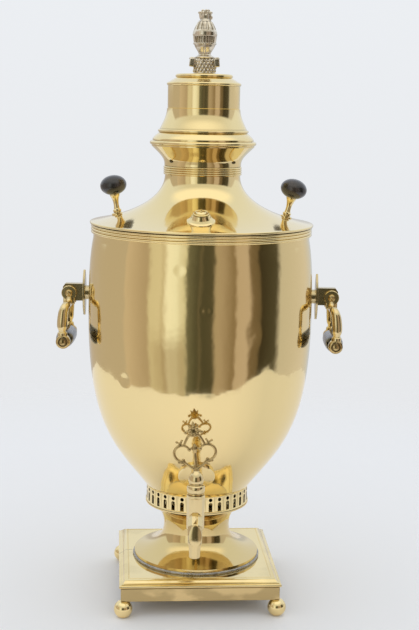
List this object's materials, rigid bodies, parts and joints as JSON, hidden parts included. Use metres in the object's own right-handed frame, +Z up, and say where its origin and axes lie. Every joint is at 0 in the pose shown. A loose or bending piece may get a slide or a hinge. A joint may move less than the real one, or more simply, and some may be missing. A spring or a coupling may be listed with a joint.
{
  "type": "samovar",
  "caption": "Charcoal samovar: urn body on a pedestal and square plinth, tap with turning key, swinging bail handles, lift-off lid, crown and cap.",
  "frame": {"origin": "on the table, under the middle of the outline; the body's axis is 16.75 mm behind it", "axes": "+Z up along the body's axis, the tap at the front towards -Y, the handles on X"},
  "size_m": [0.268, 0.2425, 0.5479],
  "materials": {
    "polished_brass": "polished, slightly worn, with faint scratches",
    "old_brass": "cast brass, silvery and tarnished in the recesses",
    "ebonised_wood": "turned wood, stained black, worn satin",
    "solder": "grey soft solder, wavy and dull",
    "tinned_tube": "tinned sheet, smoked",
    "iron": "cast iron, sooty"
  },
  "bodies": {
    "samovar_body": {"plinth_box": "polished_brass", "plinth_top": "polished_brass", "ball_feet": "polished_brass", "pedestal": "polished_brass", "foot_ring": "solder", "gallery": "polished_brass", "body_shell": "polished_brass", "fire_tube": "tinned_tube", "grate": "iron", "rim_band": "polished_brass", "handle_mount_left": "polished_brass", "handle_mount_right": "polished_brass", "handle_pin_left": "old_brass", "handle_pin_right": "old_brass", "tap_flange": "polished_brass", "tap_body": "polished_brass", "tap_spout": "polished_brass", "tap_back_nut": "polished_brass"},
    "left_handle": {"handle_arms_left": "old_brass", "handle_grip_left": "ebonised_wood", "grip_caps_left": "old_brass"},
    "right_handle": {"handle_arms_right": "old_brass", "handle_grip_right": "ebonised_wood", "grip_caps_right": "old_brass"},
    "key": {"tap_plug": "old_brass", "tap_key": "old_brass", "tap_washer": "old_brass"},
    "lid": {"lid": "polished_brass", "neck_ring": "polished_brass", "knob_stems": "polished_brass", "knob_balls": "ebonised_wood", "knob_nuts": "polished_brass", "vent_boss": "polished_brass"},
    "vent_cap": {"vent_cap": "polished_brass"},
    "crown": {"crown": "polished_brass", "crown_lip": "polished_brass"},
    "cap": {"cap_skirt": "polished_brass", "cap_drum": "polished_brass", "cap_disc": "polished_brass", "finial_nut": "polished_brass", "finial_bust": "old_brass", "finial_helmet": "old_brass", "finial_plume": "old_brass"}
  },
  "joints": [
    {"name": "lid_lift", "type": "slide", "parent": "samovar_body", "child": "lid", "axis": [0, 0, 1], "range_m": [0, 0.12]},
    {"name": "crown_lift", "type": "slide", "parent": "lid", "child": "crown", "axis": [0, 0, 1], "range_m": [0, 0.06]},
    {"name": "cap_lift", "type": "slide", "parent": "crown", "child": "cap", "axis": [0, 0, 1], "range_m": [0, 0.08]},
    {"name": "vent_lift", "type": "slide", "parent": "lid", "child": "vent_cap", "axis": [0, -0.3228, 0.9465], "range_m": [0, 0.03]},
    {"name": "key_turn", "type": "hinge", "parent": "samovar_body", "child": "key", "pos_m": [0, -0.09525, 0.10799], "axis": [0, 0, 1], "continuous": true},
    {"name": "left_handle_swing", "type": "hinge", "parent": "samovar_body", "child": "left_handle", "pos_m": [-0.1225, 0.01675, 0.2884], "axis": [0, 1, 0], "range_deg": [-14, 184]},
    {"name": "right_handle_swing", "type": "hinge", "parent": "samovar_body", "child": "right_handle", "pos_m": [0.1225, 0.01675, 0.2884], "axis": [0, -1, 0], "range_deg": [-14, 184]}
  ]
}
